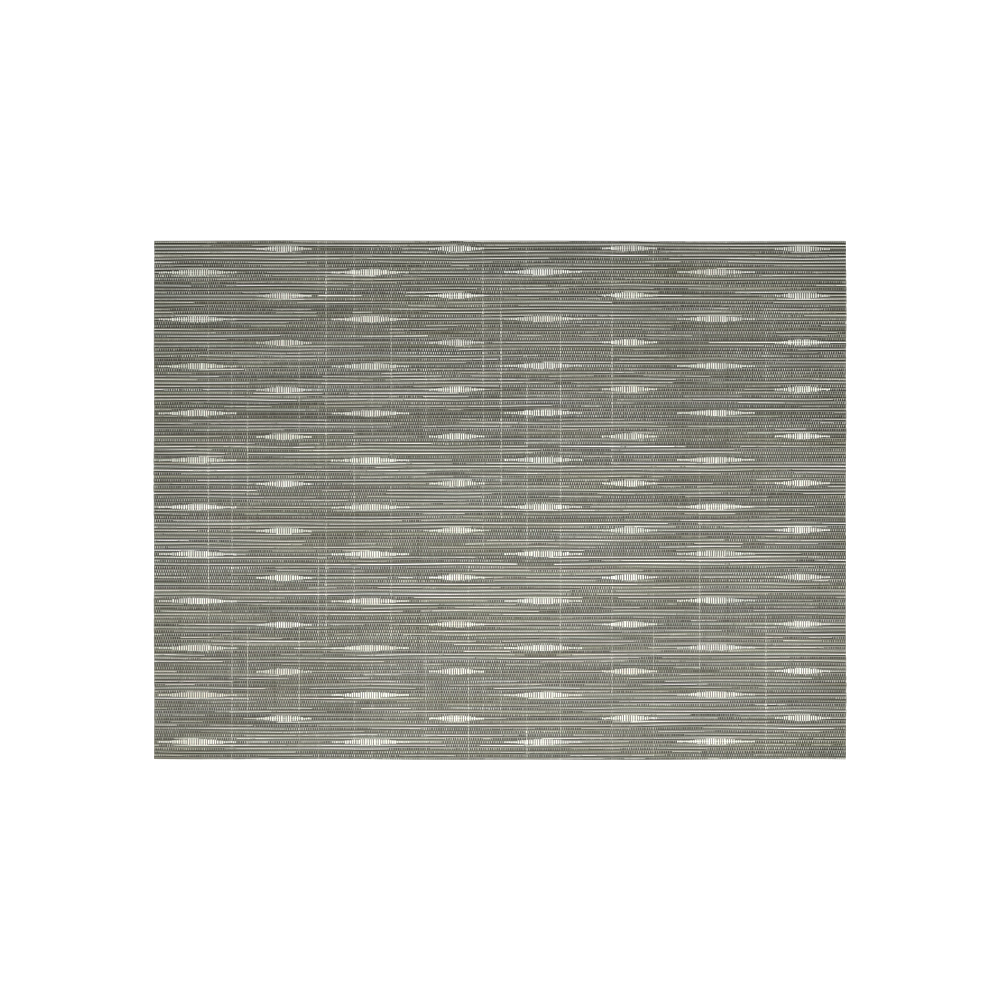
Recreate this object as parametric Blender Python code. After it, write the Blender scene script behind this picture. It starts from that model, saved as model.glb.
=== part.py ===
"""A flat woven vinyl placemat, cut to a rectangle from one web, with no hem and no binding.

Metres, +Z up. The mat lies on the XY plane, its long side along X. The origin is the middle of its
underside, on the surface that it rests on.
"""

import math

import bmesh
import bpy

# Size of the cut mat
WIDTH = 0.480
DEPTH = 0.360
THICKNESS = 0.0018

# The weave's rows run along X. Each row is one rounded rib on both faces. Their number is odd, so that
# one rib lies on the middle line.
ROWS = 155
ROW_PITCH = DEPTH / ROWS
FURROW_DEPTH = 0.00042
UNDERSIDE_FURROW = 0.00030
SHOULDER_DROP = 0.00009
SHOULDER_SHARE = 0.27

# How far the cut strays inwards from a true rectangle
LONG_EDGE_STRAY = 0.00080
SHORT_EDGE_STRAY = 0.00055
ROW_END_STRAY = 0.00022
LONG_EDGE_STEPS = 16

# Where in its stray the first row of each short edge ends, in turns
FIRST_ROW_TURN = {"left": 0.0, "right": 0.5}

# Each cut edge's slow waves, as (waves along the edge, share of the stray, phase in turns)
EDGE_WAVES = {
    "front": ((1.1, 0.60, 0.10), (3.2, 0.40, 0.45)),
    "back": ((0.8, 0.65, 0.55), (2.7, 0.35, 0.20)),
    "left": ((0.9, 0.55, 0.30), (3.6, 0.45, 0.80)),
    "right": ((1.3, 0.50, 0.70), (4.1, 0.50, 0.15)),
}

# A turn of the golden angle sets neighbouring rows' ends apart without a pattern that shows
GOLDEN_TURN = 0.618034

VINYL_COLOUR = (0.250, 0.250, 0.212, 1.0)
VINYL_ROUGHNESS = 0.55

# Edges that turn by more than this are drawn sharp, such as those of the cut
SHARP_TURN = math.radians(50)


def clear_scene():
    for old in list(bpy.data.objects):
        bpy.data.objects.remove(old, do_unlink=True)


def vinyl_material():
    material = bpy.data.materials.new("grey_vinyl")
    material.use_nodes = True
    shader = material.node_tree.nodes["Principled BSDF"]
    shader.inputs["Base Color"].default_value = VINYL_COLOUR
    shader.inputs["Roughness"].default_value = VINYL_ROUGHNESS
    shader.inputs["Metallic"].default_value = 0.0
    return material


def edge_wave(edge, along):
    """From 0 to 1, how much of its stray an edge has at this share of its length."""
    waves = EDGE_WAVES[edge]
    total = sum(share * math.sin(math.tau * (count * along + turn)) for count, share, turn in waves)
    return (total + 1) / 2


def insets(edge, stray, places):
    """How far inside the true rectangle the edge runs at each place. Its outermost place is on it."""
    raw = [stray * edge_wave(edge, along) for along in places]
    outermost = min(raw)
    return [value - outermost for value in raw]


def row_stations():
    """(y, top, underside, row) along Y: the furrows between the rows, and each rib's shoulders and crown."""
    furrow = (THICKNESS - FURROW_DEPTH, UNDERSIDE_FURROW)
    shoulder = (THICKNESS - SHOULDER_DROP, 0.0)
    crown = (THICKNESS, 0.0)
    profile = (
        (0.0, furrow),
        (0.5 - SHOULDER_SHARE, shoulder),
        (0.5, crown),
        (0.5 + SHOULDER_SHARE, shoulder),
    )
    stations = [
        ((row + share) * ROW_PITCH - DEPTH / 2, top, under, row)
        for row in range(ROWS)
        for share, (top, under) in profile
    ]
    stations.append((DEPTH / 2, *furrow, ROWS - 1))
    return stations


def row_end_inset(edge, row):
    """Each row is cut a hair longer or shorter than its neighbours."""
    return ROW_END_STRAY * ((row * GOLDEN_TURN + FIRST_ROW_TURN[edge]) % 1.0)


def side_line(edge, stations):
    """The cut short edge, as how far inside the rectangle each station ends."""
    slow = insets(edge, SHORT_EDGE_STRAY, [y / DEPTH + 0.5 for y, *_ in stations])
    raw = [inset + row_end_inset(edge, row) for inset, (*_, row) in zip(slow, stations)]
    outermost = min(raw)
    return [value - outermost for value in raw]


def long_edge(mesh, edge, y, top, under, left, right, outward):
    """The cut long edge between two corners: rows of points that stray inwards, top and underside."""
    places = [step / LONG_EDGE_STEPS for step in range(LONG_EDGE_STEPS + 1)]
    line = []
    for along, inset in zip(places, insets(edge, LONG_EDGE_STRAY, places)):
        x = left + (right - left) * along
        place = y - outward * inset
        line.append((mesh.verts.new((x, place, top)), mesh.verts.new((x, place, under))))
    return line


def mat_mesh():
    stations = row_stations()
    left = side_line("left", stations)
    right = side_line("right", stations)
    mesh = bmesh.new()

    ends = []
    for (y, top, under, _), from_left, from_right in zip(stations, left, right):
        west = from_left - WIDTH / 2
        east = WIDTH / 2 - from_right
        ends.append((y, top, under, west, east))
    front = long_edge(mesh, "front", *ends[0], outward=-1)
    back = long_edge(mesh, "back", *ends[-1], outward=1)

    lines = [front]
    for y, top, under, west, east in ends[1:-1]:
        lines.append([(mesh.verts.new((x, y, top)), mesh.verts.new((x, y, under))) for x in (west, east)])
    lines.append(back)

    for near, far in zip(lines, lines[1:]):
        mesh.faces.new([top for top, _ in near] + [top for top, _ in reversed(far)])
        mesh.faces.new([under for _, under in reversed(near)] + [under for _, under in far])
        for end in (0, -1):
            wall = [near[end][0], far[end][0], far[end][1], near[end][1]]
            mesh.faces.new(wall if end == 0 else wall[::-1])
    for line, turned in ((front, False), (back, True)):
        for (top_a, under_a), (top_b, under_b) in zip(line, line[1:]):
            wall = [top_a, under_a, under_b, top_b]
            mesh.faces.new(wall[::-1] if turned else wall)

    bmesh.ops.triangulate(mesh, faces=[face for face in mesh.faces if len(face.verts) > 4])
    bmesh.ops.recalc_face_normals(mesh, faces=mesh.faces)
    data = bpy.data.meshes.new("woven_mat")
    mesh.to_mesh(data)
    mesh.free()
    return data


def build():
    clear_scene()
    mat = bpy.data.objects.new("woven_mat", mat_mesh())
    mat.data.materials.append(vinyl_material())
    bpy.context.scene.collection.objects.link(mat)
    mat.data.shade_smooth()
    mat.data.set_sharp_from_angle(angle=SHARP_TURN)
    return mat


build()
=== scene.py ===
# %% [markdown]
# This lesson dresses a flat woven vinyl placemat. The mat is a web of plastic-coated yarns: long yarns
# run across it from left to right, and short stitches of the yarns that run front to back bind them
# down. From a step away it reads as fine ribs in grey, silver and cream, with a small woven figure.
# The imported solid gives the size. Everything that the eye sees is modelled here, yarn by yarn.

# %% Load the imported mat
import math

import bpy
import numpy as np
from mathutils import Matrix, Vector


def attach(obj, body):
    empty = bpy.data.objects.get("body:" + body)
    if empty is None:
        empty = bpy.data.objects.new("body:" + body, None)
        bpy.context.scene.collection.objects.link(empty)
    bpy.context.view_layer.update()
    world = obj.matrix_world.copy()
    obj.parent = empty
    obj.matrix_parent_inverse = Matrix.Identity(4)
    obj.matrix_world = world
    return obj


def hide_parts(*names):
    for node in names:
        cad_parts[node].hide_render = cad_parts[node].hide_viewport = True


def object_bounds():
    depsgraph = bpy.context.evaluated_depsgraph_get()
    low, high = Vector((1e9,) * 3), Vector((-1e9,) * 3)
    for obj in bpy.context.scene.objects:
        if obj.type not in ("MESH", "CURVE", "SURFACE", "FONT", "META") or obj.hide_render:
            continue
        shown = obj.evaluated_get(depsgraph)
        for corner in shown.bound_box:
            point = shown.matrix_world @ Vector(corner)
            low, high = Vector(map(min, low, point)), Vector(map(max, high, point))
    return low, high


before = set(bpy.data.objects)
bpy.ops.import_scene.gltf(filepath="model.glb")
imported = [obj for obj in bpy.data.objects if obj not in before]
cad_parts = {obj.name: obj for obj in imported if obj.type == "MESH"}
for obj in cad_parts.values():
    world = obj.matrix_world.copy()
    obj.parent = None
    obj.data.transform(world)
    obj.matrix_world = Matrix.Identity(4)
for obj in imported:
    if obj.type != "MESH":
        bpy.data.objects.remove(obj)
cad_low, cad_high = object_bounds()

WIDTH = cad_high.x - cad_low.x
DEPTH = cad_high.y - cad_low.y
THICKNESS = cad_high.z - cad_low.z
print(f"mat {WIDTH * 1000:.1f} x {DEPTH * 1000:.1f} x {THICKNESS * 1000:.2f} mm")

# %% [markdown]
# A loom makes a grid. The warp is the set of ends that run front to back, and each row of weft runs
# from side to side between them. Points could be measured one by one, but a weaver counts instead.
# Every later piece, from a stitch to a cut tip, then finds its place by a row number and an end number.

# %% Set up the loom
MM = 0.001
ROWS = 155
ENDS = 618
ROW_PITCH = DEPTH / ROWS
END_PITCH = WIDTH / ENDS
row_y = (np.arange(ROWS) + 0.5) * ROW_PITCH + cad_low.y
end_x = (np.arange(ENDS) + 0.5) * END_PITCH + cad_low.x
row_number = np.arange(ROWS)[:, None]
end_number = np.arange(ENDS)[None, :]
rng = np.random.default_rng(36)

# A place that is read from a grid stops this far before its end, where a next line still follows
JUST_INSIDE = 1.001
print(f"{ROWS} rows at {ROW_PITCH / MM:.3f} mm, {ENDS} ends at {END_PITCH / MM:.3f} mm")

# %% [markdown]
# The mat is cut from a wider web, and the cut wanders by a fraction of a millimetre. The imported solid
# has that wandering edge already, so it is read from the solid's own corners: for each row its left
# and right end, and along the front and the back a line of points.

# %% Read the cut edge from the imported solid
EDGE_BAND = 0.4 * ROW_PITCH
SAME_X = 0.01 * MM
corners = np.array([v.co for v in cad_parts["woven_mat"].data.vertices])
row_of = np.clip(((corners[:, 1] - cad_low.y) / ROW_PITCH).astype(int), 0, ROWS - 1)
west = np.array([corners[row_of == row, 0].min() for row in range(ROWS)])
east = np.array([corners[row_of == row, 0].max() for row in range(ROWS)])
near_front = corners[corners[:, 1] < cad_low.y + EDGE_BAND]
near_back = corners[corners[:, 1] > cad_high.y - EDGE_BAND]


def edge_line(points, outer):
    """The edge's y at each x of the corners, as two arrays for np.interp."""
    xs = np.unique(points[:, 0].round(6))
    return xs, np.array([outer(points[np.abs(points[:, 0] - x) < SAME_X, 1]) for x in xs])


front_line = edge_line(near_front, np.min)
back_line = edge_line(near_back, np.max)
print(f"cut strays: west {np.ptp(west) / MM:.2f}, east {np.ptp(east) / MM:.2f}, "
      f"front {np.ptp(front_line[1]) / MM:.2f}, back {np.ptp(back_line[1]) / MM:.2f} mm")

# %% [markdown]
# Yarn like this is dyed in long soft changes of tone, so a row fades from dark to pale and back over
# a few centimetres. A random number for each stitch would only look like noise. Smooth random lines
# do it: random heights are set at even knots, and a cubic curve runs through between them.


# %% Smooth random lines
def wandering(lines, count, knots):
    """One smooth random line in each row of the result, with mean 0 and spread 1 over them all."""
    heights = rng.standard_normal((lines, knots + 3))
    place = np.arange(count) * knots / count
    cell = place.astype(int)
    t = place - cell
    weights = ((1 - t) ** 3, 3 * t**3 - 6 * t**2 + 4, -3 * t**3 + 3 * t**2 + 3 * t + 1, t**3)
    line = sum(weight * heights[:, cell + k] for k, weight in enumerate(weights))
    return (line - line.mean()) / line.std()


def knots_for(length):
    """How many knots a line across the mat has when its changes are this long."""
    return max(2, round(WIDTH / length))


def along_rows(length):
    """A smooth random line along every row, whose changes are this long."""
    return wandering(ROWS, ENDS, knots_for(length))


def patches(across, down):
    """A smooth random field for changes that are this long and that so many rows share."""
    coarse = wandering(max(3, round(ROWS / down)) + 1, ENDS, knots_for(across))
    place = np.linspace(0, len(coarse) - JUST_INSIDE, ROWS)
    cell = place.astype(int)
    t = (place - cell)[:, None]
    t = t * t * (3 - 2 * t)
    field = coarse[cell] * (1 - t) + coarse[cell + 1] * t
    return (field - field.mean()) / field.std()


# %% [markdown]
# The figure in the web is a slim almond, pointed left and right, in a half-drop: each second column of
# almonds sits half a step lower. Cream stitches of the warp draw it, longest in the middle and shorter
# towards the points, one third of a row at a time, since three yarns lie in each row. Such figures are
# as old as weaving. The chart below lists a stitch for each second end, as a weaver would plan it.

# %% Chart the almonds
ALMOND_HALF_ENDS = (34, 24)
COLUMN_ENDS = 77
STEP_ROWS = 14
FIRST_END = 39
FIRST_ROW = 5
LONGEST_STITCH = 1.67
SHORTEST_STITCH = 0.67
POINTEDNESS = 1.8
YARNS_IN_ROW = 3

centres = [
    (row, end, ALMOND_HALF_ENDS[column % 2])
    for column, end in enumerate(range(FIRST_END, ENDS, COLUMN_ENDS))
    for row in range(FIRST_ROW + (column % 2) * STEP_ROWS // 2, ROWS - 2, STEP_ROWS)
]
figure = np.zeros((ROWS, ENDS), bool)
chart = []
for centre_row, centre_end, half in centres:
    for offset in range(-half, half + 1):
        end = centre_end + offset
        if not 0 <= end < ENDS:
            continue
        length = max(SHORTEST_STITCH, LONGEST_STITCH * (1 - (abs(offset) / half) ** POINTEDNESS))
        length = round(YARNS_IN_ROW * length) / YARNS_IN_ROW
        figure[centre_row, end] = True
        if offset % 2 == 0:
            chart.append((centre_row, end, length))
print(f"{len(centres)} almonds of {len(chart)} stitches, {figure.mean():.1%} of the face")

# %% [markdown]
# Each row has three yarns: a plain grey one, a pale one and a dark one. Where the pale yarn floats on
# the face it draws a fine cream line. Where it is caught just under the stitches of the warp, the line
# is dotted and dimmer. Elsewhere it lies on the back, and the stitches cross the dark yarn alone. So a
# map of three levels decides most of the look. It mixes a lasting tendency of each row with smooth
# changes along it, and is cut at two heights.

# %% Decide where the pale yarn floats
FLOAT_SHARE = 0.38
CAUGHT_SHARE = 0.20
SHORTEST_RUN = 9
row_habit = rng.standard_normal((ROWS, 1))
habit = (0.46 * row_habit + 0.68 * along_rows(18 * MM)
         + 0.48 * along_rows(45 * MM) + 0.22 * patches(50 * MM, 9))
levels = np.digitize(habit, np.quantile(habit, [1 - FLOAT_SHARE - CAUGHT_SHARE, 1 - FLOAT_SHARE]))


def without_short_runs(line):
    """The map's row with each run that is too short to weave given to the run before it."""
    line = line.copy()
    starts = np.flatnonzero(np.diff(line)) + 1
    for start, stop in zip(np.r_[0, starts], np.r_[starts, len(line)]):
        if stop - start < SHORTEST_RUN and start > 0:
            line[start:stop] = line[start - 1]
    return line


levels = np.array([without_short_runs(line) for line in levels])
floats = (levels == 2) | figure
caught = (levels == 1) & ~figure
parity = (end_number + row_number) % 2
print(f"pale yarn floats on {floats.mean():.1%} and is caught under stitches on {caught.mean():.1%}")

# %% [markdown]
# Here and there two neighbours of the warp went through one eye of the loom. They lie close together,
# are thicker, and show as a pale ladder down the mat, with a rung at every row and a dark line on both
# sides. Where two neighbours were kept apart, by a wire of the reed, the ladder is dark. Ladders come
# at uneven distances and fade in and out, and some floats are held down where they cross one. The
# stitches of thick ends are painted lighter, as a highlight, and those of thin ends darker, as shade.

# %% Place the ladders
LADDER_GAP = (7, 26)
MOST_LADDERS = 80
LADDER_MARGIN = 4
LADDER_STRENGTH = 0.55
STRENGTH_SPREAD = 0.30
STRENGTH_KNOTS = 9
DARK_SHARE = 0.50
HELD_SHARE = 0.10
PULL = 0.24 * MM
NEXT_PULL = 0.12 * MM
THIN = -1.0
ladders = np.cumsum(rng.integers(*LADDER_GAP, MOST_LADDERS))
ladders = ladders[ladders < ENDS - LADDER_MARGIN]
thickness = np.zeros((ROWS, ENDS))
push = np.zeros((ROWS, ENDS))
strength = LADDER_STRENGTH + STRENGTH_SPREAD * wandering(len(ladders), ROWS, STRENGTH_KNOTS)
strength = np.clip(strength, 0, 1)
kinds = np.where(rng.random(len(ladders)) < DARK_SHARE, THIN, 1.0)
for end, kind, down_the_mat in zip(ladders, kinds, strength):
    thickness[:, end:end + 2] = (kind * down_the_mat)[:, None]
    pull = np.sign(kind) * down_the_mat
    push[:, end] += PULL * pull
    push[:, end + 1] -= PULL * pull
    push[:, end - 1] -= NEXT_PULL * pull
    push[:, end + 2] += NEXT_PULL * pull
    held = rng.random(ROWS) < HELD_SHARE * down_the_mat
    caught[held, end - 1:end + 3] |= floats[held, end - 1:end + 3]
    floats[held, end - 1:end + 3] = False
print(f"{np.sum(kinds > 0)} pale ladders and {np.sum(kinds < 0)} dark ones")

# %% [markdown]
# Nothing in a soft web is dead straight. Rows bow a little around each almond, where its stitches
# crowd them, and the whole web drifts by a few tenths of a millimetre. All yarns share one
# displacement, so that they still fit together, and at last everything is trimmed to the cut edge.

# %% Let the web settle
DRIFT = 0.20 * MM
BOW = 0.34 * MM
BOW_REACH_X = 17 * MM
BOW_REACH_Y = 5.0 * MM
BOW_COLUMNS = 481
BOW_LINES = 721


def drifted(x, y):
    """How far the web lies off its true grid at these places, in x and in y."""
    u = x / WIDTH
    v = y / DEPTH
    dx = 0.7 * DRIFT * np.sin(math.tau * (1.3 * v + 0.4 * u + 0.15)) * np.cos(math.tau * 0.9 * u)
    dy = DRIFT * (np.sin(math.tau * (0.8 * u + 0.3 * v))
                  + 0.5 * np.sin(math.tau * (2.1 * u - 0.7 * v + 0.3)))
    return dx, dy


bow_x = np.linspace(cad_low.x, cad_high.x, BOW_COLUMNS)
bow_y = np.linspace(cad_low.y, cad_high.y, BOW_LINES)
bow_field = np.zeros((len(bow_y), len(bow_x)))
for row, end, half in centres:
    along = np.exp(-(((bow_x - end_x[end]) / BOW_REACH_X) ** 2))
    rise = (bow_y - row_y[row]) / BOW_REACH_Y
    bow_field += BOW * (rise * np.exp(0.5 - 0.5 * rise**2))[:, None] * along[None, :]


def bowed(x, y):
    """The bow at these places, read from its grid."""
    column = np.clip((x - bow_x[0]) / (bow_x[1] - bow_x[0]), 0, BOW_COLUMNS - JUST_INSIDE)
    line = np.clip((y - bow_y[0]) / (bow_y[1] - bow_y[0]), 0, BOW_LINES - JUST_INSIDE)
    i = line.astype(int)
    j = column.astype(int)
    s = line - i
    t = column - j
    low = bow_field[i, j] * (1 - t) + bow_field[i, j + 1] * t
    high = bow_field[i + 1, j] * (1 - t) + bow_field[i + 1, j + 1] * t
    return low * (1 - s) + high * s


def settled(points):
    """Points of the true grid, moved as the web drifts and bows and then trimmed to the cut edge."""
    moved = np.array(points)
    x = moved[..., 0]
    y = moved[..., 1]
    dx, dy = drifted(x, y)
    dy = dy + bowed(x, y)
    row = np.clip(((y - cad_low.y) / ROW_PITCH).astype(int), 0, ROWS - 1)
    moved[..., 0] = np.clip(x + dx, west[row], east[row])
    moved[..., 1] = np.clip(y + dy, np.interp(x, *front_line), np.interp(x, *back_line))
    return moved


print(f"bow up to {np.abs(bow_field).max() / MM:.2f} mm")

# %% [markdown]
# Half a million small faces are too many to add one by one, so each kind of yarn is one array of
# strips. A strip is a grid of points: so many along the yarn, so many across it. One function turns
# any such array into a mesh, stores the numbers that the dyes need at each point, and gives every strip
# its own small place on a map named OFBake, so that a baked picture keeps the yarns apart. A capped
# strip is a ring all the way round, with its last ring filled, which makes a cut tip of yarn.


# %% Share out the map
MAP_MARGIN = 0.10
CAP_START = 0.76
CAP_MIDDLE = (0.88, 0.50)
CAP_HALF = (0.08, 0.40)


def quads_of(grid):
    """The four corners of each quad of a grid, whose last two axes run along it and across it."""
    near = grid[..., :-1, :]
    far = grid[..., 1:, :]
    return np.stack([near[..., :-1], far[..., :-1], far[..., 1:], near[..., 1:]], -1)


def map_cells(strips, wide):
    """The corner and size of each strip's own rectangle on the map."""
    columns = 1 if wide else math.ceil(math.sqrt(strips))
    lines = math.ceil(strips / columns)
    index = np.arange(strips)
    corner = np.stack([index % columns / columns, index // columns / lines], 1)
    return corner, np.array([1 / columns, 1 / lines])


def map_places(count, along, across, wide, capped):
    """The map place of each corner of the strips' quads and, after them, of their caps."""
    corner, size = map_cells(count, wide)
    far_side = 1 - MAP_MARGIN
    u_steps = np.linspace(MAP_MARGIN, CAP_START if capped else far_side, along)
    v_steps = np.linspace(MAP_MARGIN, far_side, across + capped)
    u, v = np.meshgrid(u_steps, v_steps, indexing="ij")
    quads = np.stack([quads_of(u), quads_of(v)], -1).reshape(-1, 2)
    places = [(corner[:, None] + size * quads).reshape(-1, 2)]
    if capped:
        turn = np.arange(across)[::-1] * math.tau / across
        disc = CAP_MIDDLE + CAP_HALF * np.stack([np.cos(turn), np.sin(turn)], -1)
        places.append((corner[:, None] + size * disc).reshape(-1, 2))
    return np.concatenate(places)


# %% Turn arrays of strips into meshes
tally = []


def strip_mesh(name, strips, fields, wide=False, capped=False):
    """A mesh of strips x along x across x 3 points, with each field's number at every point."""
    count, along, across = strips.shape[:3]
    mesh = bpy.data.meshes.new(name)
    mesh.vertices.add(strips.size // 3)
    mesh.vertices.foreach_set("co", strips.astype(np.float32).ravel())
    first = np.arange(count * along).reshape(count, along, 1) * across
    grid = first + np.arange(across + capped) % across
    quads = quads_of(grid).reshape(-1, 4)
    loops = quads.ravel()
    starts = np.arange(0, quads.size, 4)
    triangles = 2 * len(quads)
    if capped:
        loops = np.concatenate([loops, grid[:, -1, :-1][:, ::-1].ravel()])
        starts = np.concatenate([starts, quads.size + np.arange(count) * across])
        triangles += count * (across - 2)
    mesh.loops.add(len(loops))
    mesh.loops.foreach_set("vertex_index", loops.astype(np.int32))
    mesh.polygons.add(len(starts))
    mesh.polygons.foreach_set("loop_start", starts.astype(np.int32))
    mesh.update(calc_edges=True)
    mesh.shade_smooth()
    layer = mesh.uv_layers.new(name="OFBake", do_init=False)
    places = map_places(count, along, across, wide, capped)
    layer.uv.foreach_set("vector", places.astype(np.float32).ravel())
    for field, values in fields.items():
        attribute = mesh.attributes.new(field, "FLOAT", "POINT")
        numbers = np.broadcast_to(values, strips.shape[:3])
        attribute.data.foreach_set("value", numbers.astype(np.float32).ravel())
    piece = bpy.data.objects.new(name, mesh)
    bpy.context.scene.collection.objects.link(piece)
    tally.append(triangles)
    print(f"{name}: {count} strips, {triangles} triangles")
    return piece


# %% [markdown]
# Tone comes next. A number from 0, black, to 1, white, says how bright a yarn should look. Two more say
# how yellow and how rosy it is, because some rows lean to olive and some to beige. Both belong to the
# row and change slowly along it. All yarns of a row share them, as if dyed in one lot.

# %% Tones and casts of the rows
YELLOW_CAST = 0.045
BLUSH = 0.001
STITCH_TONE = 0.720
# Painted light on the ladders: stitches of thick ends are painted lighter as a highlight, those of thin
# ends darker as shade
LADDER_PAINTED_LIGHT = 0.120
GREY_TONE = 0.530
DARK_TONE = 0.330
PALE_TONE = 0.810
FIGURE_TONE = 1.000
cast_map = YELLOW_CAST + (0.0060 * along_rows(20 * MM) + 0.0045 * along_rows(60 * MM)
                          + 0.0025 * patches(60 * MM, 8))
blush_map = (BLUSH + 0.20 * (cast_map - YELLOW_CAST) + 0.0026 * along_rows(25 * MM)
             + 0.0016 * along_rows(70 * MM) + 0.0006 * patches(80 * MM, 8))
end_bias = 0.018 * rng.standard_normal(ENDS) + 0.018 * wandering(1, ENDS, knots_for(30 * MM))[0]
stitch_tone = (STITCH_TONE + 0.060 * along_rows(20 * MM) + 0.025 * rng.standard_normal((ROWS, 1))
               + 0.015 * patches(60 * MM, 10) + end_bias[None, :] + LADDER_PAINTED_LIGHT * thickness)
grey_tone = (GREY_TONE + 0.030 * along_rows(30 * MM) + 0.012 * patches(50 * MM, 9)
             + 0.020 * rng.standard_normal((ROWS, 1)))
dark_tone = DARK_TONE + 0.065 * along_rows(35 * MM) + 0.030 * rng.standard_normal((ROWS, 1))
pale_tone = (PALE_TONE + 0.080 * along_rows(22 * MM) + 0.050 * row_habit
             + 0.050 * along_rows(60 * MM))
figure_tone = FIGURE_TONE + 0.6 * end_bias[None, :] + 0.03 * patches(50 * MM, 9)


def dye_fields(tone, rows, ends):
    """What the dyes need for strips at these rows and ends. tone has all of a strip's axes."""
    cast = cast_map[rows, ends][..., None]
    blush = blush_map[rows, ends][..., None]
    return {"tone": tone, "cast": cast, "blush": blush}


print(f"cast {cast_map.min():.3f} to {cast_map.max():.3f}, "
      f"blush {blush_map.min():.3f} to {blush_map.max():.3f}")

# %% [markdown]
# The stitches of the warp are short arches of flattened round yarn. Each rises beside one row's grey
# yarn, runs over the dark yarn and dives again. In the next row its neighbours do the same, like bricks.
# Under a float a stitch is short and leaves the dark yarn bare, but a thick end still crosses it.
# An arch needs only three points across and four along it, because smooth shading rounds it. Every
# stitch is a hair off in place, width, lean and tone, since a field of perfect copies looks moulded.
# Three cones of yarn feed the warp in turn, and the stitches from each cone are one piece.

# %% Ground stitches on the face
STITCH_WIDTH = 0.74 * MM
THICKER = 0.30
WIDTH_SPREAD = 0.08
PLACE_SPREAD = np.array([0.045, 0.08]) * MM
LEAN_SPREAD = 0.06 * MM
TONE_SPREAD = 0.045
GROUND_ALONG = np.array([0.98, 0.56, -0.50, -0.98]) * MM
SHORT_ALONG = np.array([0.98, 0.56, 0.00, -0.60]) * MM
THICK_ALONG = np.array([1.10, 0.66, -0.66, -1.12]) * MM
GROUND_Z = THICKNESS - np.array([0.85, 0.20, 0.20, 0.85]) * MM
# Painted shade along each ground stitch: a little darker at its upper end and much darker at its lower
# end, where it dives into the web
GROUND_PAINTED_SHADE = np.array([-0.02, 0.0, -0.03, -0.14])
ACROSS_SHARE = np.array([-0.5, 0.0, 0.5])
ACROSS_DROP = np.array([0.34, 0.0, 0.34]) * MM
CONES = 3


def stitch_strips(rows, ends, along, along_z, breadth=STITCH_WIDTH, across_share=ACROSS_SHARE,
                  across_drop=ACROSS_DROP, turned=1):
    """Arches over the given rows at the given ends. turned is -1 for the back of the mat."""
    count = len(rows)
    thick = 1 + THICKER * thickness[rows, ends]
    width = breadth * thick * (1 + WIDTH_SPREAD * rng.standard_normal(count))
    x = end_x[ends] + push[rows, ends] + PLACE_SPREAD[0] * rng.standard_normal(count)
    y = row_y[rows] + PLACE_SPREAD[1] * rng.standard_normal(count)
    lean = LEAN_SPREAD * rng.standard_normal(count)[:, None] * np.linspace(-1, 1, along.shape[-1])
    points = np.empty((count, along.shape[-1], len(across_share), 3))
    points[..., 0] = (x[:, None] + lean)[:, :, None] + turned * across_share * width[:, None, None]
    points[..., 1] = (y[:, None] + along)[:, :, None]
    points[..., 2] = along_z[..., :, None] - turned * across_drop
    return settled(points)


def ground_along(rows, ends):
    """Where the points along each ground stitch lie: short under a float, longer on a thick end."""
    thick = np.maximum(thickness[rows, ends], 0)[:, None]
    plain = np.where(floats[rows, ends][:, None], SHORT_ALONG, GROUND_ALONG)
    return plain * (1 - thick) + THICK_ALONG * thick


def stitch_piece(name, rows, ends, strips, tone, shade):
    """One mesh of stitches, each in its own tone, with painted shade and highlight added from point to
    point.
    """
    own = tone + TONE_SPREAD * rng.standard_normal(len(rows))
    fields = dye_fields(own[:, None, None] + shade[None, :, None], rows[:, None], ends[:, None])
    return strip_mesh(name, strips, fields)


pieces = []
ground = ~figure & (parity == 0)
for cone in range(CONES):
    rows, ends = np.nonzero(ground & (end_number // 2 % CONES == cone))
    strips = stitch_strips(rows, ends, ground_along(rows, ends), GROUND_Z)
    name = f"ground_stitches_{cone + 1}"
    pieces.append(stitch_piece(name, rows, ends, strips, stitch_tone[rows, ends], GROUND_PAINTED_SHADE))

# %% [markdown]
# The almonds' stitches are a thicker yarn in cream, floated over up to five yarns. An almond's middle
# row keeps the pale yarn on the face, and the stitches ride over it. They get six points along and
# four across, because they are the largest and the eye goes to them first.

# %% Almond stitches
ALMOND_WIDTH = 0.90 * MM
ALMOND_ALONG = np.array([0.5, 0.5, 0.25, -0.25, -0.5, -0.5])
ALMOND_TUCK = np.array([0.10, -0.22, 0.0, 0.0, 0.22, -0.10]) * MM
ALMOND_Z = THICKNESS + np.array([-0.85, -0.04, 0.14, 0.14, -0.04, -0.85]) * MM
# Painted shade at both ends of an almond stitch, where it dives into the web, and a faint painted
# highlight on its crown
ALMOND_PAINTED_LIGHT = np.array([-0.06, 0.0, 0.02, 0.02, 0.0, -0.06])
ALMOND_SHARE = np.array([-0.5, -0.22, 0.22, 0.5])
ALMOND_DROP = np.array([0.34, 0.03, 0.03, 0.34]) * MM
rows, ends, lengths = (np.array(column) for column in zip(*chart))
along = lengths[:, None] * ROW_PITCH * ALMOND_ALONG + ALMOND_TUCK
strips = stitch_strips(rows, ends, along, ALMOND_Z, ALMOND_WIDTH, ALMOND_SHARE, ALMOND_DROP)
pieces.append(stitch_piece("almond_stitches", rows, ends, strips, figure_tone[rows, ends], ALMOND_PAINTED_LIGHT))

# %% [markdown]
# Three long yarns fill each row, side by side. Only the upper and lower skin of each can ever be seen,
# so each is two long strips, bent to half an ellipse. The grey yarn and the dark yarn stay level. They
# swell between the warp ends that pinch them, at each second end, and a row's swellings lie half way
# between those of the next row. Two numbers at each point, phase and pinch, tell the finish where.

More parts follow.
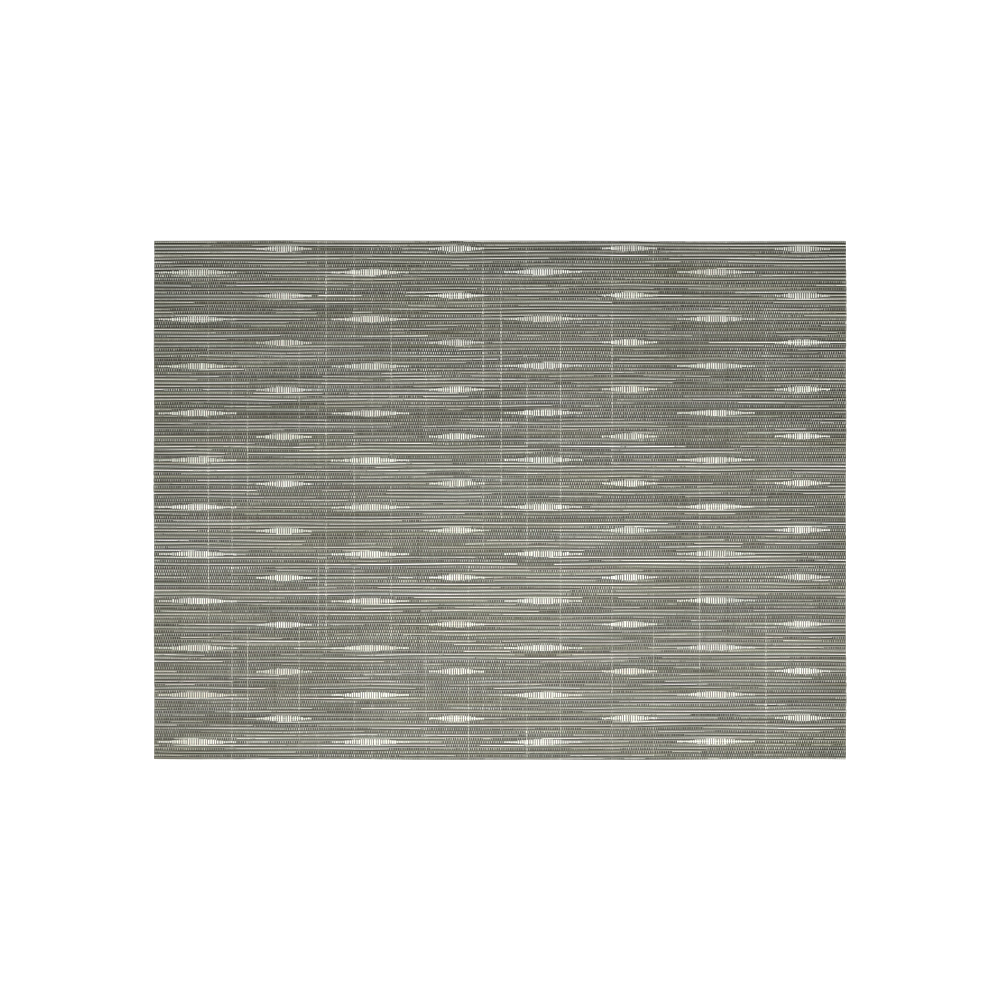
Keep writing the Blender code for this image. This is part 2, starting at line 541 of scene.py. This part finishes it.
# %% Level yarns
STATIONS = 49
BACK_STATIONS = 25
GREY_AT = 0.82 * MM
DARK_AT = -0.36 * MM
GREY_HALF = np.array([0.47, 0.62]) * MM
DARK_HALF = np.array([0.72, 0.36]) * MM
MIDDLE_Z = 0.5 * THICKNESS
BLUR_ENDS = 5
# Painted shade: the grey and dark yarns are darker where the almond stitches lie over them, and a few
# ends around
GREY_SHADE_UNDER_ALMONDS = -0.04
DARK_SHADE_UNDER_ALMONDS = -0.05


def half_round(centre_y, centre_z, half, points, upper):
    """The y and z of the points across a half ellipse, as two arrays with one more axis."""
    turn = np.linspace(math.pi, 0, points) if upper else np.linspace(math.tau, math.pi, points)
    y = centre_y[..., None] + half[0] * np.cos(turn)
    z = centre_z[..., None] + half[1] * np.sin(turn)
    return y, z


def long_yarn_fields(x, rows, tone_map, pinch):
    """What the dyes and the swellings need along long yarns, at these x and rows."""
    place = (x - end_x[0]) / END_PITCH
    ends = np.clip(place.round().astype(int), 0, ENDS - 1)
    fields = dye_fields(tone_map[rows, ends][..., None], rows, ends)
    return {**fields, "phase": (place + rows)[..., None], "pinch": pinch}


def level_yarn(name, offset, half, tone_map, points, upper, pinch):
    """The upper or lower skin of one of the level yarns in all rows, this far off the rows' middles."""
    stations = STATIONS if upper else BACK_STATIONS
    rows = np.repeat(np.arange(ROWS)[:, None], stations, 1)
    x = np.broadcast_to(np.linspace(cad_low.x, cad_high.x, stations), rows.shape)
    y, z = half_round(row_y[rows] + offset, np.full(rows.shape, MIDDLE_Z), half, points, upper)
    strips = settled(np.stack([np.broadcast_to(x[..., None], y.shape), y, z], -1))
    return strip_mesh(name, strips, long_yarn_fields(x, rows, tone_map, pinch), wide=True)


almond_shade_reach = np.array([np.convolve(line, np.ones(BLUR_ENDS) / BLUR_ENDS, "same") for line in figure])
grey_map = grey_tone + GREY_SHADE_UNDER_ALMONDS * almond_shade_reach
dark_map = dark_tone + DARK_SHADE_UNDER_ALMONDS * almond_shade_reach
across_pinch = {3: np.array([1.0, 0.0, -1.0]), 4: np.array([1.0, 0.6, -0.6, -1.0])}
for side, upper in (("face", True), ("back", False)):
    points = 4 if upper else 3
    pinch = across_pinch[points]
    pieces.append(level_yarn(f"grey_yarn_{side}", GREY_AT, GREY_HALF, grey_map, points, upper, pinch))
    pieces.append(level_yarn(f"dark_yarn_{side}", DARK_AT, DARK_HALF, dark_map, 3, upper, 1.0))

# %% [markdown]
# The pale yarn changes sides. Each run, on the face, under the stitches or on the back, comes out of
# the web at its start and dives at its end. A long run is laid as several short strips, end to end,
# so that all strips have the same number of stations and still follow the bowed rows. Only a run's
# own two ends dive.

# %% Pale yarn, run by run
PALE_HALF = np.array([0.31, 0.25]) * MM
LONGEST_STRIP = 52
DIVE = 1.1 * MM
LONGEST_DIVE = 0.3
STATION_SHARE = np.array([0.0, 0.35, 1.0, 0.5, 1.0, 0.35, 0.0])
DIVE_DEPTH = np.array([-0.60, -0.18, 0.0]) * MM
FLOAT_TOP = THICKNESS - 0.02 * MM
CAUGHT_TOP = THICKNESS - 0.36 * MM


def runs_of(chosen):
    """(row, first end, end after the last, dives at the start, dives at the end) of each strip."""
    found = []
    for row, line in enumerate(chosen):
        steps = np.flatnonzero(np.diff(np.r_[0, line.astype(int), 0]))
        for start, stop in zip(steps[::2], steps[1::2]):
            marks = np.linspace(start, stop, math.ceil((stop - start) / LONGEST_STRIP) + 1)
            for a, b in zip(marks, marks[1:]):
                found.append((row, a, b, a == start and start > 0, b == stop and stop < ENDS))
    return np.array(found, float)


def pale_runs(name, chosen, outer, points):
    """Strips of pale yarn on the chosen runs, with their outer side at this height."""
    rows, starts, stops, dive_in, dive_out = runs_of(chosen).T
    begin = (cad_low.x + starts * END_PITCH)[:, None]
    end = (cad_low.x + stops * END_PITCH)[:, None]
    dive = np.minimum(DIVE, LONGEST_DIVE * (end - begin))
    x = np.concatenate([begin + STATION_SHARE[:3] * dive, begin + 0.5 * (end - begin),
                        end - STATION_SHARE[4:] * dive], 1)
    lift = np.concatenate([dive_in[:, None] * DIVE_DEPTH, np.zeros((len(rows), 1)),
                           dive_out[:, None] * DIVE_DEPTH[::-1]], 1)
    upper = outer > MIDDLE_Z
    sign = 1 if upper else -1
    rows = np.repeat(rows.astype(int)[:, None], x.shape[1], 1)
    y, z = half_round(row_y[rows], outer - sign * (PALE_HALF[1] - lift), PALE_HALF, points, upper)
    strips = settled(np.stack([np.broadcast_to(x[..., None], y.shape), y, z], -1))
    return strip_mesh(name, strips, long_yarn_fields(x, rows, pale_tone, 1.0))


pieces.append(pale_runs("pale_yarn_face", floats, FLOAT_TOP, 4))
pieces.append(pale_runs("pale_yarn_caught", caught, CAUGHT_TOP, 3))
pieces.append(pale_runs("pale_yarn_back", ~floats & ~caught, 0.0, 3))

# %% [markdown]
# The back of the mat is the reverse of the face: where the pale yarn floats on the face, the warp's
# stitches cross the dark yarn behind it. They lie against the table, so a flat arch will do.

# %% Stitches on the back
BACK_ALONG = np.array([0.90, 0.0, -0.90]) * MM
BACK_Z = np.array([0.62, 0.12, 0.62]) * MM
rows, ends = np.nonzero(floats & (parity == 1))
strips = stitch_strips(rows, ends, BACK_ALONG, BACK_Z, across_share=np.array([-0.5, 0.5]),
                       across_drop=np.zeros(2), turned=-1)
pieces.append(stitch_piece("back_stitches", rows, ends, strips, stitch_tone[rows, ends], np.zeros(3)))

# %% [markdown]
# Every yarn ends at the cut. A coated yarn that is cut shows a ring of vinyl around a paler thread. Each
# tip is a short ring of points, drawn in once to a rim and filled. On the left and right the long yarns
# end, three to a row. On the front and back the warp ends do, now above and now below the middle.

# %% Cut tips
AROUND = 8
around = np.arange(AROUND) * math.tau / AROUND
THREAD_TONE = 0.80
WARP_OVER = 1.18 * MM
WARP_UNDER = 0.62 * MM
WARP_HALF = np.array([0.36, 0.24]) * MM

# Each ring of a tip, as (how far inside the cut, share of the yarn's size, share of thread)
TIP_RINGS = ((0.50 * MM, 1.0, 0.0), (0.0, 1.0, 0.0), (0.02 * MM, 0.58, 1.0))


def tips(name, centre, half, outward, rows, ends, tone):
    """Tips at the centres, each with its half sizes across and up. outward is -1 or 1 along x or y."""
    axis, sign = outward
    rings = []
    for inset, size, _ in TIP_RINGS:
        ring = np.repeat(centre[:, None], AROUND, 1)
        ring[..., axis] -= sign * inset
        ring[..., 1 - axis] += size * half[:, None, 0] * np.cos(around)
        ring[..., 2] += size * half[:, None, 1] * np.sin(around)
        rings.append(ring)
    strips = settled(np.stack(rings, 1))
    if (sign > 0) == (axis == 0):
        strips = strips[:, :, ::-1]
    thread = np.array([share for _, _, share in TIP_RINGS])
    tones = tone[:, None, None] * (1 - thread[:, None]) + THREAD_TONE * thread[:, None]
    return strip_mesh(name, strips, dye_fields(tones, rows[:, None], ends[:, None]), capped=True)


side_rows = np.tile(np.arange(ROWS), YARNS_IN_ROW)
level_z = np.full(ROWS, MIDDLE_Z)
for name, sign, end in (("left", -1, 0), ("right", 1, ENDS - 1)):
    pale_z = np.where(floats[:, end], FLOAT_TOP - PALE_HALF[1], PALE_HALF[1])
    pale_z = np.where(caught[:, end], CAUGHT_TOP - PALE_HALF[1], pale_z)
    x = np.full(ROWS, sign * WIDTH / 2)
    places = ((GREY_AT, level_z), (DARK_AT, level_z), (0.0, pale_z))
    centre = np.concatenate([np.stack([x, row_y + offset, z], 1) for offset, z in places])
    half = np.concatenate([np.tile(size, (ROWS, 1)) for size in (GREY_HALF, DARK_HALF, PALE_HALF)])
    tone = np.concatenate([tones[:, end] for tones in (grey_tone, dark_tone, pale_tone)])
    ends = np.full(len(side_rows), end)
    pieces.append(tips(f"cut_tips_{name}", centre, half, (0, sign), side_rows, ends, tone))
for name, sign, row in (("front", -1, 0), ("back", 1, ROWS - 1)):
    line = front_line if sign < 0 else back_line
    z = np.where(parity[row] == 0, WARP_OVER, WARP_UNDER)
    centre = np.stack([end_x, np.interp(end_x, *line), z], 1)
    half = np.tile(WARP_HALF, (ENDS, 1))
    rows = np.full(ENDS, row)
    ends = np.arange(ENDS)
    pieces.append(tips(f"cut_tips_{name}", centre, half, (1, sign), rows, ends, stitch_tone[row]))

# %% [markdown]
# Deep between the yarns lies the core of the web, where all the crossings are packed. Little of it is
# seen, but without it light would fall through the gaps. It is one closed sheet with a soft rib for
# each row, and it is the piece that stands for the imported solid.

# %% Core of the web
CORE_INSET = 0.5 * MM
CORE_TOP = 1.12 * MM
CORE_FOOT = 0.68 * MM
CORE_DIP = 0.12 * MM
CORE_STATIONS = 13


def core_web():
    """The core: an upper and a lower skin with a rib for each row, and a wall round its rim."""
    y = np.append((row_y[:, None] + np.array([-0.5, 0.0]) * ROW_PITCH).ravel(), cad_high.y)
    dip = np.append(np.tile([CORE_DIP, 0.0], ROWS), CORE_DIP)
    x = np.linspace(cad_low.x, cad_high.x, CORE_STATIONS)
    gx, gy = np.meshgrid(x, y, indexing="ij")
    skins = []
    for height in (CORE_TOP - dip, CORE_FOOT + dip):
        skin = settled(np.stack([gx, gy, np.broadcast_to(height, gx.shape)], -1))
        skin[..., 0] *= 1 - 2 * CORE_INSET / WIDTH
        skin[..., 1] *= 1 - 2 * CORE_INSET / DEPTH
        skins.append(skin.reshape(-1, 3))
    grid = np.arange(gx.size).reshape(gx.shape)
    tops = quads_of(grid).reshape(-1, 4)
    rim = np.concatenate([grid[:, 0], grid[-1, 1:], grid[-2::-1, -1], grid[0, -2:0:-1]])
    ahead = np.roll(rim, -1)
    walls = np.stack([ahead, rim, rim + gx.size, ahead + gx.size], -1)
    faces = np.concatenate([tops, tops[:, ::-1] + gx.size, walls])
    mesh = bpy.data.meshes.new("core_web")
    mesh.from_pydata(np.concatenate(skins).tolist(), [], faces.tolist())
    mesh.shade_smooth()
    piece = bpy.data.objects.new("core_web", mesh)
    bpy.context.scene.collection.objects.link(piece)
    return piece


core = core_web()
tally.append(2 * len(core.data.polygons))
print(f"core_web: {tally[-1]} triangles")
print(f"{sum(tally)} triangles in all, {max(tally)} in the largest piece")

# %% [markdown]
# In a shader, a colour rule reads best as a sum. This small class holds one output socket. Adding,
# subtracting or multiplying it makes the Math nodes, and any other node comes from its one method.


# %% Shader sums in plain Python
class Dye:
    """One socket of a material's nodes, on which ordinary arithmetic adds Math nodes."""

    def __init__(self, tree, socket=None):
        self.tree = tree
        self.socket = socket

    def node(self, kind, settings=None, inputs=None, output=0):
        """Adds a node: its settings first, then the values or links of its sockets."""
        made = self.tree.nodes.new(kind)
        for name, value in (settings or {}).items():
            setattr(made, name, value)
        for name, value in (inputs or {}).items():
            if isinstance(value, Dye):
                self.tree.links.new(value.socket, made.inputs[name])
            else:
                made.inputs[name].default_value = value
        return Dye(self.tree, made.outputs[output])

    def field(self, name):
        """One of the numbers that strip_mesh stored."""
        return self.node("ShaderNodeAttribute", {"attribute_name": name}, output="Fac")

    def feed(self, socket):
        self.tree.links.new(self.socket, socket)

    def sum_of(self, operation, first, second):
        return self.node("ShaderNodeMath", {"operation": operation}, {0: first, 1: second})

    def __add__(self, other):
        return self.sum_of("ADD", self, other)

    __radd__ = __add__

    def __sub__(self, other):
        return self.sum_of("SUBTRACT", self, other)

    def __rsub__(self, other):
        return self.sum_of("SUBTRACT", other, self)

    def __mul__(self, other):
        return self.sum_of("MULTIPLY", self, other)

    __rmul__ = __mul__

    def __pow__(self, power):
        return self.sum_of("POWER", self, power)

    def cosine(self):
        return self.node("ShaderNodeMath", {"operation": "COSINE"}, {0: self})


# %% [markdown]
# Vinyl yarn is a polyester thread in a skin of soft plastic. Its sheen is satin, and its colour is even
# around it but slightly clouded along it, with faint lines where the die pressed it. One rule turns a
# tone into a colour, channel by channel: the power makes the tone match what a screen shows. The cut
# has left its mark too. For a millimetre or two inside the edge the vinyl is scuffed and paler.

# %% Vinyl finish
DYE_STRENGTH = 0.75
SCREEN_POWER = 2.2
CAST_IN_BLACK = 1.75
CAST_LOST = 0.85
WEAR_TONE = 0.11
WEAR_REACH = 1.7 * MM


def new_finish(name, roughness):
    """A new material, with its Dye to start sums from and its shader."""
    material = bpy.data.materials.new(name)
    material.use_nodes = True
    shader = material.node_tree.nodes["Principled BSDF"]
    shader.inputs["Roughness"].default_value = roughness
    return material, Dye(material.node_tree), shader


def dyed(dye, level, cast, blush):
    """The colour of vinyl of this level, with a yellow cast and a blush. Dark vinyl shows more cast."""
    red = level + blush
    blue = red - cast * (CAST_IN_BLACK - CAST_LOST * level)
    channels = {"Red": red, "Green": level, "Blue": blue}
    light = {name: DYE_STRENGTH * channel**SCREEN_POWER for name, channel in channels.items()}
    return dye.node("ShaderNodeCombineColor", {}, light)


def edge_wear(dye, place):
    """How worn the face is: 0 inside the mat, rising to 1 at a cut edge."""
    worn = 0.0
    for axis, half in ((0, WIDTH / 2), (1, DEPTH / 2)):
        along = dye.node("ShaderNodeSeparateXYZ", {}, {"Vector": place}, output=axis)
        away = dye.node("ShaderNodeMath", {"operation": "ABSOLUTE"}, {0: along})
        reach = {"From Min": half - WEAR_REACH, "From Max": half}
        worn = dye.node("ShaderNodeMapRange", {}, {"Value": away, **reach}) + worn
    return worn


# %% One finish for each kind of yarn
CLOUDS = {"Scale": 900.0, "Detail": 3.0}
CLOUD_TONE = 0.10
STREAKS = {"Scale": 9000.0, "Detail": 2.0}
STREAK_STRETCH = 0.12
STREAK_TONE = 0.10
STREAK_ROUGHNESS = 0.20
STREAK_HEIGHT = 0.03 * MM
SWELL_HEIGHT = 0.05 * MM
RELIEF_STRENGTH = 0.7


def vinyl_finish(name, along, roughness, swell_tone=0.0):
    """The finish of yarn that runs along x or y, with swellings if it has them."""
    material, dye, shader = new_finish(name, roughness)
    place = dye.node("ShaderNodeTexCoord", output="Object")
    stretch = (STREAK_STRETCH, 1.0, 1.0) if along == "x" else (1.0, STREAK_STRETCH, 1.0)
    yarn_place = dye.node("ShaderNodeVectorMath", {"operation": "MULTIPLY"}, {0: place, 1: stretch})
    clouds = dye.node("ShaderNodeTexNoise", {}, {"Vector": place, **CLOUDS})
    streaks = dye.node("ShaderNodeTexNoise", {}, {"Vector": yarn_place, **STREAKS})
    level = dye.field("tone") + (clouds - 0.5) * CLOUD_TONE + (streaks - 0.5) * STREAK_TONE
    level = level + edge_wear(dye, place) * WEAR_TONE
    height = streaks * STREAK_HEIGHT
    if swell_tone:
        swell = (dye.field("phase") * math.pi).cosine() * dye.field("pinch")
        level = level + swell * swell_tone
        height = height + swell * SWELL_HEIGHT
    dyed(dye, level, dye.field("cast"), dye.field("blush")).feed(shader.inputs["Base Color"])
    (roughness + (streaks - 0.5) * STREAK_ROUGHNESS).feed(shader.inputs["Roughness"])
    relief = {"Height": height, "Distance": 1.0, "Strength": RELIEF_STRENGTH}
    dye.node("ShaderNodeBump", {}, relief).feed(shader.inputs["Normal"])
    return material


finishes = {
    "grey_yarn": vinyl_finish("satin_grey_vinyl", "x", roughness=0.48, swell_tone=0.16),
    "dark_yarn": vinyl_finish("satin_dark_vinyl", "x", roughness=0.48, swell_tone=0.16),
    "pale_yarn": vinyl_finish("satin_pale_vinyl", "x", roughness=0.44, swell_tone=0.13),
    "cut_tips": vinyl_finish("cut_vinyl", "x", roughness=0.60),
}
warp_vinyl = vinyl_finish("satin_warp_vinyl", "y", roughness=0.50)
for piece in pieces:
    kind = "_".join(piece.name.split("_")[:2])
    piece.data.materials.append(finishes.get(kind, warp_vinyl))
print(f"{len(finishes) + 1} finishes on {len(pieces)} pieces")

# %% [markdown]
# The core lies deep in the web, and its colour is painted dark as the shade there. Its finish still
# follows the loom: a wave for each end of the warp and one for each row, so that even a glimpse
# between two yarns looks woven.

# %% Core finish
# The core's tone is painted dark, as the shade deep inside the web
CORE_PAINTED_SHADE_TONE = 0.10
ENDS_WAVE_TONE = 0.04
ROWS_WAVE_TONE = 0.03
CORE_RELIEF = {"Distance": 0.1 * MM, "Strength": 0.6}

# At scale 1, Blender's Wave texture turns through this many radians in each metre
WAVE_RADIANS = 20
core_painted_shade_vinyl, dye, shader = new_finish("shaded_vinyl_core", roughness=0.6)
place = dye.node("ShaderNodeTexCoord", output="Object")


def loom_wave(direction, pitch, distortion):
    """A wave with one crest for each end or row of this pitch."""
    scale = math.tau / (WAVE_RADIANS * pitch)
    return dye.node("ShaderNodeTexWave", {"bands_direction": direction},
                    {"Vector": place, "Scale": scale, "Distortion": distortion})


ends_wave = loom_wave("X", END_PITCH, 0.4)
rows_wave = loom_wave("Y", ROW_PITCH, 0.3)
level = ends_wave * ENDS_WAVE_TONE + rows_wave * ROWS_WAVE_TONE + CORE_PAINTED_SHADE_TONE
dyed(dye, level, YELLOW_CAST, 0.0).feed(shader.inputs["Base Color"])
dye.node("ShaderNodeBump", {}, {"Height": ends_wave, **CORE_RELIEF}).feed(shader.inputs["Normal"])
core.data.materials.append(core_painted_shade_vinyl)
print(f"{core_painted_shade_vinyl.name}: {len(core_painted_shade_vinyl.node_tree.nodes)} nodes")

# %% [markdown]
# Every yarn belongs to the one rigid body of the imported mat. The core stands for the imported solid,
# and the yarns go with it.

# %% Tie the pieces to the imported mat
for piece in [core, *pieces]:
    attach(piece, "root")
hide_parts("woven_mat")

# %% [markdown]
# The mat lies on a plain white table top. A soft lamp hangs low over the front, so the middle of the
# front is brightest and the far corners are dimmer. A white sky fills the rest. The table top glows a
# little, like a photographer's light table, which keeps it white out to the corners of the picture.

# %% White table top
TABLE_REACH = 1.5
TABLE_TONE = 0.90
TABLE_GLOW = 0.5
scene = bpy.context.scene
top = bpy.data.meshes.new("white_table_top")
square = [(-TABLE_REACH, -TABLE_REACH, 0), (TABLE_REACH, -TABLE_REACH, 0),
          (TABLE_REACH, TABLE_REACH, 0), (-TABLE_REACH, TABLE_REACH, 0)]
top.from_pydata(square, [], [(0, 1, 2, 3)])
table_top = bpy.data.objects.new("white_table_top", top)
scene.collection.objects.link(table_top)
table_paint, dye, shader = new_finish("white_paint", roughness=0.8)
shader.inputs["Base Color"].default_value = (TABLE_TONE, TABLE_TONE, TABLE_TONE, 1.0)
shader.inputs["Emission Color"].default_value = (1.0, 1.0, 1.0, 1.0)
shader.inputs["Emission Strength"].default_value = TABLE_GLOW
top.materials.append(table_paint)
print(f"table top {2 * TABLE_REACH:.1f} m square")

# %% Sky and lamp
SKY_STRENGTH = 0.45
LAMP_SIZE = 0.35
LAMP_POWER = 5.2
LAMP_PLACE = (0.02, -0.22, 0.70)
world = bpy.data.worlds.new("white_sky")
world.use_nodes = True
sky = world.node_tree.nodes["Background"]
sky.inputs["Color"].default_value = (1.0, 1.0, 1.0, 1.0)
sky.inputs["Strength"].default_value = SKY_STRENGTH
scene.world = world

lamp_data = bpy.data.lights.new("front_lamp", "AREA")
lamp_data.shape = "SQUARE"
lamp_data.size = LAMP_SIZE
lamp_data.energy = LAMP_POWER
lamp = bpy.data.objects.new("front_lamp", lamp_data)
lamp.location = LAMP_PLACE
scene.collection.objects.link(lamp)
print(f"lamp of {LAMP_POWER} W at {LAMP_PLACE}")

# %% [markdown]
# The camera hangs straight above the mat. A long lens from far off keeps the outline a true rectangle
# and hides the walls of the cut. The photo is crisp down to single stitches, and Blender's usual pixel
# filter would soften them, so the filter is made narrower. The Standard view shows tones as they are.

# %% Camera
FRAME_WIDTH = 0.6922
LENS = 100.0
SENSOR = 36.0
CAMERA_Y = 0.17 * MM
FILTER_WIDTH = 1.0
scene.view_settings.view_transform = "Standard"
scene.cycles.filter_width = FILTER_WIDTH
camera_data = bpy.data.cameras.new("overhead_camera")
camera_data.lens = LENS
camera_data.sensor_width = SENSOR
camera = bpy.data.objects.new("overhead_camera", camera_data)
camera.location = (0.0, CAMERA_Y, THICKNESS + FRAME_WIDTH * LENS / SENSOR)
scene.collection.objects.link(camera)
scene.camera = camera
print(f"camera at {camera.location.z:.3f} m")
